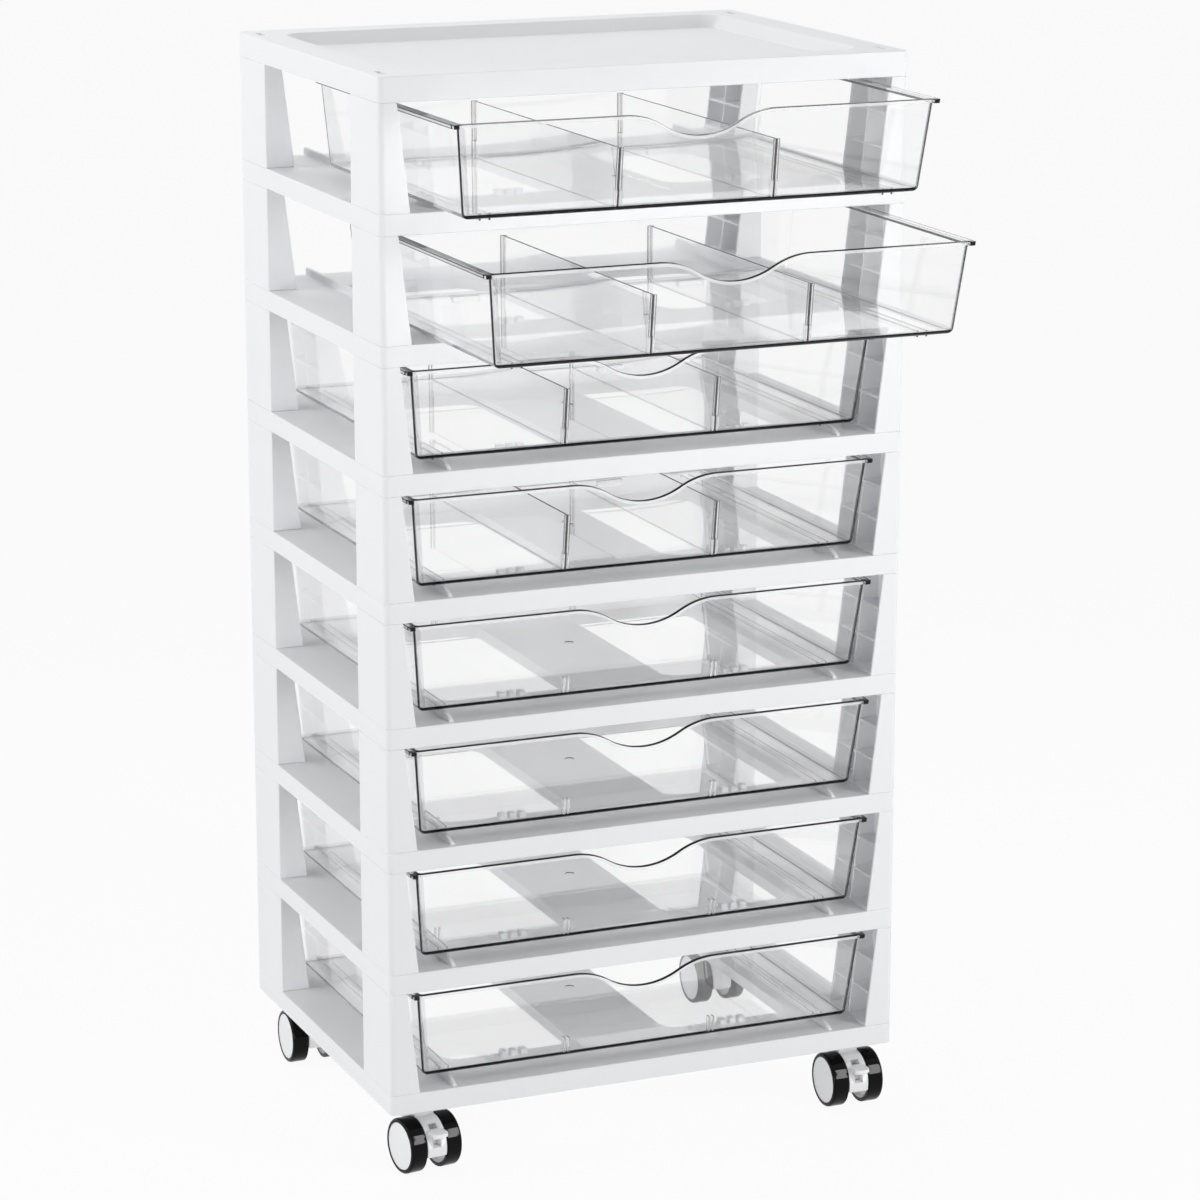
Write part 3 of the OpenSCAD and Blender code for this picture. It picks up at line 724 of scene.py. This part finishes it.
# %% Ribs, lugs and the dimple
runner_x = 146.5
guide_x, guide_half = 3.4, 0.7
guide_front, guide_back, guide_low = 26.0, 267.7, -2.5
stop_x, stop_half = 86.0, 9.9
stop_front, stop_back, stop_low = 268.0, 274.0, -3.6
into_floor = 0.6
divider_x = (top_half - wall) / 3
locator_x, locator_half, locator_lean = 1.6, 0.6, 2.0
locator_low, locator_top = 1.5, 14.0
locators_front, locators_back = (16.0, 19.64), (273.8, 277.5)
dimple_radius, dimple_low, dimple_top = 3.2, 1.5, 3.5


def beam(name, x, half, front, back, low, high):
    """A block about an upright plane at x."""
    return block(name, (x - half, front, low), (x + half, back, high))


small = []
for side in (-1, 1):
    for edge in (-1, 1):
        x = side * runner_x + edge * guide_x
        small.append(beam("guide_rib", x, guide_half, guide_front, guide_back, guide_low, into_floor))
        x = side * divider_x + edge * locator_x
        rib = beam("front_locator", x, locator_half, *locators_front, locator_low, locator_top)
        pick(rib, "verts", lambda v: v.co.z > 10.0 * mm and v.co.y < 17.0 * mm)
        shift(y=-locator_lean)
        small.append(rib)
        small.append(beam("back_locator", x, locator_half, *locators_back, locator_low, locator_top))
    x = side * stop_x
    small.append(beam("stop_lug", x, stop_half, stop_front, stop_back, stop_low, into_floor))
join_solid(drawer, small)

dimple_y = (front_foot + drawer_back) / 2
dimple = rod("dimple", (0.0, dimple_y, dimple_low), (0.0, dimple_y, dimple_top), dimple_radius, "Z", 32)
cut_away(drawer, dimple)
report(drawer)

# %% Break the edges
pick(drawer, "faces", lambda f: not along_rim(f, bead_height))
bpy.ops.mesh.dissolve_limited(angle_limit=math.radians(0.5))
bpy.ops.object.mode_set(mode="OBJECT")
break_edges(drawer, 0.3, 50)
for level in (height - edge_line, height - flange_thick + edge_line):
    pick(drawer, "faces", lambda f: abs(f.normal.x) > facing and abs(middle(f).x) > top_half + 2.0)
    cut_level(level)
recalculate(drawer)
smooth(drawer, 35)
report(drawer)

# %% [markdown]
# Where the plastic is thick it looks drawn with a pen. The front foot is a black line, the rim and
# the two edges of each flange are dark ones, the upright corners and the side feet are softer, and
# the rounds beside them are grey. Below the rim's dark line the bead shines white. These lines and
# greys are painted shade, and the white of the bead is a painted highlight: both are painted into
# the colour of the faces. The walls stay clear. Each face is told by where it is and how it looks
# out.

# %% Clear walls, painted grey rounds, painted dark lines and a painted highlight
def near_front(points):
    """True for a face in the front wall or in the rounds that border it."""
    return all(p.y < front_foot + corner + 0.5 for p in points)


def near_side(points):
    """True for a face in a side wall or in the rounds that border it."""
    return all(abs(p.x) > foot_half - corner - 0.5 for p in points)


def near_foot(points):
    """True for a face in the floor or in the rounds that border it."""
    return all(p.z < corner + 0.3 for p in points)


def near_rim(points, below):
    """True within some distance below the edge of the front rim."""
    return all(p.z > height - rim_dip(p) - below - 0.1 and p.y < 12.0 for p in points)


def on_flange_edge(points):
    """True on the outer face of a flange."""
    return all(abs(p.x) > top_half + flange_wide - 0.4 for p in points)


def foot_line(points, n):
    """The lower part of the round between the front wall and the floor."""
    return near_front(points) and near_foot(points) and n.y < -0.15 and -0.97 < n.z < -0.3


def dark_line(points, n):
    """The front rim, the front ends of the flanges and the flanges' edges."""
    if near_rim(points, rim_line):
        return n.y < 0.3
    if n.y < -0.5 and all(abs(p.x) > top_half - 1.0 and p.y < front_top + 1.0 for p in points):
        return min(p.z for p in points) > height - flange_thick - 0.1
    if on_flange_edge(points):
        level = sum(p.z for p in points) / len(points)
        return abs(level - (height - flange_thick / 2)) > flange_thick / 2 - edge_line
    return False


def soft_line(points, n):
    """The side feet, and each upright corner where its round meets the side wall."""
    if near_foot(points) and near_side(points):
        return -0.9 < n.z < -0.75
    return near_front(points) and near_side(points) and -0.4 < n.y < -0.05 and n.z > -0.3


def bright_bead(points, n):
    """The face of the bead below its dark edge, painted as a highlight where it would catch the light."""
    return near_rim(points, bead_height) and n.y < 0.3


def grey_round(points, n):
    """The rest of the rounds at the front and the foot, and the flanges' outer faces."""
    if on_flange_edge(points):
        return True
    if near_foot(points) and -0.97 < n.z < -0.1:
        return near_front(points) or near_side(points)
    return near_front(points) and near_side(points) and abs(n.x) > 0.1 and n.y < -0.1


def set_finishes(piece, plain, *special):
    """Gives a piece a plain finish and special ones, each with the test that says which faces."""
    coat(piece, plain)
    for finish, _ in special:
        piece.data.materials.append(finish)
    counts = [0] * (len(special) + 1)
    for face in piece.data.polygons:
        points = [piece.data.vertices[i].co / mm for i in face.vertices]
        for slot, (_, wanted) in enumerate(special, 1):
            if wanted(points, face.normal):
                face.material_index = slot
                break
        counts[face.material_index] += 1
    return counts


# Painted shade and a painted highlight: dark lines, grey rounds and a white bead on the clear drawer.
lines = (
    (foot_painted_black, foot_line),
    (line_painted_dark, dark_line),
    (edge_painted_dark, soft_line),
    (bead_painted_highlight, bright_bead),
    (round_painted_grey, grey_round),
)
print(set_finishes(drawer, clear_wall, *lines), "faces by finish")

# %% [markdown]
# One drawer is modelled and eight are needed. Each copy gets its own mesh, and the shift into its
# tier is written into that mesh, so every object stays at the world's origin.

# %% Eight drawers
def place_copy(model, name, matrix):
    """A copy with its own mesh, moved by its mesh."""
    copy = model.copy()
    copy.data = model.data.copy()
    copy.name = name
    copy.data.transform(matrix)
    bpy.context.scene.collection.objects.link(copy)
    return copy


def into_tier(tier, aside=0.0):
    """The move from the model to a tier, by the drawer's rim, and aside for a divider."""
    low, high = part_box(f"drawer_{tier}")
    return Matrix.Translation((aside * mm, low.y - (front_top - bead_out) * mm, high.z - height * mm))


for tier in tiers:
    place = into_tier(tier)
    copy = place_copy(drawer, f"clear_drawer_{tier}", place)
    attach(copy, f"drawer_{tier}")
    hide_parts(f"drawer_{tier}")
    print("drawer", tier, "moved by", [round(v / mm, 1) for v in place.translation], "mm")
bpy.data.objects.remove(drawer)

# %% [markdown]
# ## A divider
#
# A thin panel across the drawer. At each end, above the locating ribs, it widens to an upright
# flange that rests against the wall. The panel follows the lean of the front wall.

# %% Model the divider
divider_top = height - 21.2
half_thick = 0.8
panel_front, panel_low = 17.0, 2.2
panel_back = drawer_back - wall - 0.2
strip_out, strip_low = 1.4, 14.2
strip_front, strip_back = front_foot + 3.8, panel_back - 1.6
flange_line = 1.75
divider = block("divider_model", (-half_thick, panel_front, panel_low), (half_thick, panel_back, divider_top))
pick(divider, "verts", lambda v: v.co.y < half_way * mm and v.co.z > 10.0 * mm)
shift(y=front_foot + 2.2 - lean * divider_top - panel_front)
pick(divider, "edges", lambda e: all(v.co.z < 3.0 * mm for v in e.verts) and abs(middle(e).x) < 0.1)
round_off(2.0, 3)
for place, normal in (
    ((0.0, strip_front, 0.0), (0.0, 1.0, lean)),
    ((0.0, strip_back, 0.0), (0.0, 1.0, 0.0)),
    ((0.0, 0.0, strip_low), (0.0, 0.0, 1.0)),
):
    pick(divider, "faces", every)
    cut_across(place, normal)


def end_strip(f, side):
    """True for the upright strip at each end of the panel that becomes a flange."""
    here = middle(f)
    at_end = here.y < strip_front - lean * here.z or here.y > strip_back
    return f.normal.x * side > facing and here.z > strip_low and at_end


for side in (-1, 1):
    pick(divider, "faces", lambda f: end_strip(f, side))
    extrude(x=side * strip_out)
for side in (-1, 1):
    pick(divider, "faces", lambda f: abs(f.normal.y) > facing and middle(f).x * side > half_thick)
    cut_across((side * flange_line, 0.0, 0.0), (1.0, 0.0, 0.0))
bpy.ops.object.mode_set(mode="OBJECT")
break_edges(divider, 0.25, 50)
recalculate(divider)
smooth(divider, 35)
report(divider)


def divider_edge(points, n):
    """The top, and the two long edges of each upright flange."""
    at_top = all(p.z > divider_top - 0.35 for p in points)
    return at_top or all(abs(p.x) > flange_line - slack for p in points)


# The divider's top and flange edges get a painted dark line, painted shade on clear plastic.
print(set_finishes(divider, clear_wall, (seam_painted_dark, divider_edge)), "faces by finish")

# %% Eight dividers
for tier in range(1, 5):
    for name, side in (("left", -1), ("right", 1)):
        place = into_tier(tier, side * divider_x)
        copy = place_copy(divider, f"clear_divider_{tier}_{name}", place)
        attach(copy, f"drawer_{tier}")
        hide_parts(f"divider_{tier}_{name}")
bpy.data.objects.remove(divider)
print("eight dividers placed")

# %% [markdown]
# ## The casters
#
# Each caster has two wheels on one axle, with a white hood between them. The sizes below are
# counted from the swivel axis, with the floor at zero and the front towards the reader. A wheel is
# round, so its tyre is one small outline that is spun about the axle, and its hub is a disc whose
# face is inset and pushed in. One caster is modelled, and copies are turned into the four corners.

# %% The caster's sizes and places
axle_y = -12.0
axle_z = 20.0
wheel_radius = 20.0
wheel_in = 8.0
wheel_out = 20.0
hub_radius = 17.0
hub_gap = 0.03
hub_out = wheel_out - 0.4
hub_steps = ((0.5, 0.0), (0.9, -0.45), (3.0, 0.12), (4.5, 0.1), (5.0, 0.05))
hollow_rim, hollow_deep = 2.0, 2.5
hood_half = 7.5
hood_radius = 19.5
caster_x = 167.0
corners = {}
for name, side, depth, yaw in (
    ("front_left", -1, 27.0, 8.0),
    ("front_right", 1, 27.0, 0.0),
    ("rear_left", -1, 269.0, 0.0),
    ("rear_right", 1, 269.0, 0.0),
):
    place = Vector((side * caster_x * mm, front_y + depth * mm, 0.0))
    corners[name] = Matrix.Translation(place) @ Matrix.Rotation(math.radians(yaw), 4, "Z")
print("casters at", [tuple(round(v / mm, 1) for v in m.translation) for m in corners.values()])


def place_caster_piece(model, name, body, node, matrix):
    """A copy at one corner, which rides on a body and takes the place of a node."""
    copy = place_copy(model, name, matrix)
    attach(copy, body)
    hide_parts(node)


# %% A tyre, spun from its outline
def corner_of(v, x, z):
    """True for the vertex at a corner of the outline."""
    return abs(v.co.x / mm - x) < 0.1 and abs(v.co.z / mm - z) < 0.1


deselect()
rim_place = Vector(((wheel_in + wheel_out) / 2, 0.0, (hub_radius + wheel_radius) / 2)) * mm
bpy.ops.mesh.primitive_plane_add(size=1.0, location=rim_place, rotation=(math.radians(90), 0.0, 0.0))
bpy.context.object.scale = ((wheel_out - wheel_in) * mm, (wheel_radius - hub_radius) * mm, 1.0)
tyre = settle("tyre_model")
for x, z, size, steps in ((wheel_out, wheel_radius, 1.9, 4), (wheel_in, wheel_radius, 0.8, 2)):
    pick(tyre, "verts", lambda v: corner_of(v, x, z))
    round_off(size, steps, "VERTICES")
pick(tyre, "faces", every)
bpy.ops.mesh.delete(type="ONLY_FACE")
bpy.ops.mesh.select_all(action="SELECT")
bpy.ops.mesh.spin(steps=72, angle=math.radians(360), center=(0.0, 0.0, 0.0), axis=(1.0, 0.0, 0.0))
bpy.ops.object.mode_set(mode="OBJECT")
recalculate(tyre)
report(tyre)

# %% A hub disc
hub = rod("hub_model", (wheel_in, 0.0, 0.0), (hub_out, 0.0, 0.0), hub_radius - hub_gap, "X", 72)


def disc(f, side):
    """True for the whole round face that looks outwards or inwards."""
    return f.normal.x * side > 0.99 and len(f.verts) > 8


for inset, push in hub_steps:
    pick(hub, "faces", lambda f: disc(f, 1) and middle(f).x > wheel_in + 1)
    bpy.ops.mesh.inset(thickness=inset * mm, depth=0.0)
    shift(x=push)
pick(hub, "faces", lambda f: disc(f, -1))
bpy.ops.mesh.inset(thickness=hollow_rim * mm, depth=0.0)
shift(x=hollow_deep)
bpy.ops.object.mode_set(mode="OBJECT")
recalculate(hub)
report(hub)

# %% Pair the wheels
def wheel_pair(model, finish, edge):
    """Both wheels of a caster, mirrored about its middle and set on the axle."""
    model.data.transform(Matrix.Translation((0.0, axle_y * mm, axle_z * mm)))
    apply_modifier(model, "MIRROR", use_axis=(True, False, False), use_mirror_merge=False)
    recalculate(model)
    if edge:
        break_edges(model, edge, 50)
    smooth(model, 40)
    coat(model, finish)
    report(model)


wheel_pair(tyre, tyre_finish, 0.0)
wheel_pair(hub, white_caster, 0.2)
for name, matrix in corners.items():
    place_caster_piece(tyre, f"tyre_pair_{name}", f"wheels_{name}", f"tyres_{name}", matrix)
    place_caster_piece(hub, f"hub_pair_{name}", f"wheels_{name}", f"hubs_{name}", matrix)
bpy.data.objects.remove(tyre)
bpy.data.objects.remove(hub)

# %% [markdown]
# ## The hoods and the brake levers
#
# The hood is a round shell that follows the wheels, cut off level above the floor. It carries the
# stem in a block and a round head. The front hoods have a slot for the brake lever, whose broad pad
# stands out between the wheels on a narrow neck.

# %% The hood's sizes
hood_cut = 14.5
cheek_rim, cheek_deep = 1.6, 0.5
post_half, post_low, post_high = 7.4, 18.0, 42.0
head_low, head_radius = 41.5, 10.0
bore_low, bore_high, bore_radius = 23.5, 60.0, 4.08
pivot_y = axle_y - hood_radius / 2
pivot_z = axle_z + 2.0
neck_half = 3.0
slot_half = neck_half + 0.2
slot_front, slot_back = -45.0, pivot_y + 3.6
slot_low, slot_high = 21.5, 36.4
well_front, well_low, well_high = pivot_y - 4.0, 18.3, 22.0
print("the lever's pivot is at y", round(pivot_y, 2), "and z", pivot_z)


# %% How a hood is made
def finish_moulding(piece, edge, finish):
    """Rounds the sharp edges of a small white part and shades it."""
    recalculate(piece)
    break_edges(piece, edge, 40)
    smooth(piece, 40)
    coat(piece, finish)
    report(piece)


def make_hood(name, has_brake):
    """A hood with its post, its head and the stem's bore, and with the lever's slot if it brakes."""
    hood = rod(name, (-hood_half, axle_y, axle_z), (hood_half, axle_y, axle_z), hood_radius, "X", 72)
    pick(hood, "faces", lambda f: abs(f.normal.x) > 0.99)
    bpy.ops.mesh.inset(thickness=cheek_rim * mm, depth=-cheek_deep * mm)
    bpy.ops.mesh.select_all(action="SELECT")
    cut_level(hood_cut, use_fill=True, clear_inner=True)
    bpy.ops.object.mode_set(mode="OBJECT")
    post = block("hood_post", (-post_half, axle_y, post_low), (post_half, post_half, post_high))
    join_solid(hood, [post])
    join_solid(hood, [rod("hood_head", (0.0, 0.0, head_low), (0.0, 0.0, head_top), head_radius, "Z")])
    cut_away(hood, rod("stem_bore", (0.0, 0.0, bore_low), (0.0, 0.0, bore_high), bore_radius, "Z"))
    if has_brake:
        for front, low, high in ((slot_front, slot_low, slot_high), (well_front, well_low, well_high)):
            cut_away(hood, block("brake_slot", (-slot_half, front, low), (slot_half, slot_back, high)))
    finish_moulding(hood, 0.45, white_caster)
    return hood


# %% Four hoods in place
braked_hood = make_hood("braked_hood_model", True)
plain_hood = make_hood("plain_hood_model", False)
for name, matrix in corners.items():
    model = braked_hood if name.startswith("front") else plain_hood
    place_caster_piece(model, f"caster_hood_{name}", f"swivel_{name}", f"hood_{name}", matrix)
bpy.data.objects.remove(braked_hood)
bpy.data.objects.remove(plain_hood)

# %% The brake lever: a barrel, a neck and a broad pad
pad_half = 5.8
pad_low, pad_high = 31.4, 33.8
pad_tip, pad_root = -39.0, -28.6
neck_tip, neck_root = pad_root - 5.0, pivot_y + 2.0
neck_low, neck_high = pivot_z + 1.0, pad_high - 0.05
neck_middle = -30.0
barrel_radius = 3.0
pin_half, pin_radius = 7.2, 1.5


def pivot_rod(name, half, radius, steps=48):
    """A round bar about the lever's pivot."""
    return rod(name, (-half, pivot_y, pivot_z), (half, pivot_y, pivot_z), radius, "X", steps)


lever = block("lever_model", (-pad_half, pad_tip, pad_low), (pad_half, pad_root, pad_high))
pick(lever, "edges", lambda e: all(v.co.y < (pad_tip + 1.0) * mm for v in e.verts) and abs(middle(e).x) > 5.0)
round_off(3.6, 6)
bpy.ops.object.mode_set(mode="OBJECT")

neck = block("lever_neck", (-neck_half, neck_tip, neck_low), (neck_half, neck_root, neck_high))
pick(neck, "verts", lambda v: v.co.y < neck_middle * mm and v.co.z < 25.0 * mm)
shift(y=2.4, z=4.6)
pick(neck, "verts", lambda v: v.co.y > neck_middle * mm and v.co.z > 30.0 * mm)
shift(y=-5.8)
bpy.ops.object.mode_set(mode="OBJECT")
barrel = pivot_rod("lever_barrel", neck_half, barrel_radius)
pin = pivot_rod("lever_pin", pin_half, pin_radius, 24)
for extra in (neck, barrel, pin):
    join_solid(lever, [extra])
# The lever's whiter finish is painted light on its pad.
finish_moulding(lever, 0.4, lever_painted_brighter)
for side in ("left", "right"):
    place_caster_piece(
        lever, f"brake_tongue_{side}", f"brake_{side}", f"brake_lever_{side}",
        corners[f"front_{side}"],
    )
bpy.data.objects.remove(lever)

# %% [markdown]
# ## The white mouldings
#
# The frames, the posts and the cover have the right shape already. What a moulding has and an
# engineering mesh lacks is a broken edge, and it is the broken edges that draw the thin grey seam
# where one tier stands on the next. Weld joins the loose triangles, a planar Decimate makes whole
# faces of them, and Bevel rounds each edge.

# %% Dress the frames, posts and cover
def dress(node_name, finish, edge=0.0):
    """Gives an engineering node its finish and, if asked, broken edges."""
    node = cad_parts[node_name]
    coat(node, finish)
    if edge:
        weld = node.modifiers.new("weld", "WELD")
        weld.merge_threshold = 0.01 * mm
        flat = node.modifiers.new("flat_faces", "DECIMATE")
        flat.decimate_type = "DISSOLVE"
        flat.angle_limit = math.radians(1)
        bevel = node.modifiers.new("broken_edges", "BEVEL")
        bevel.width = edge * mm
        bevel.segments = 3
        bevel.limit_method = "ANGLE"
        bevel.angle_limit = math.radians(40)
        bevel.use_clamp_overlap = False


mouldings = ["top_cover", "base_frame"]
mouldings += [f"shelf_frame_{tier}" for tier in range(1, 8)]
mouldings += [f"corner_posts_{tier}" for tier in tiers]
for name in mouldings:
    dress(name, white_frame, 0.75)
print(len(mouldings), "white mouldings dressed")

steel_parts = ["caster_stems"] + [f"axle_{name}" for name in corners]
for name in steel_parts:
    dress(name, steel_finish)
print(len(steel_parts), "steel parts dressed")
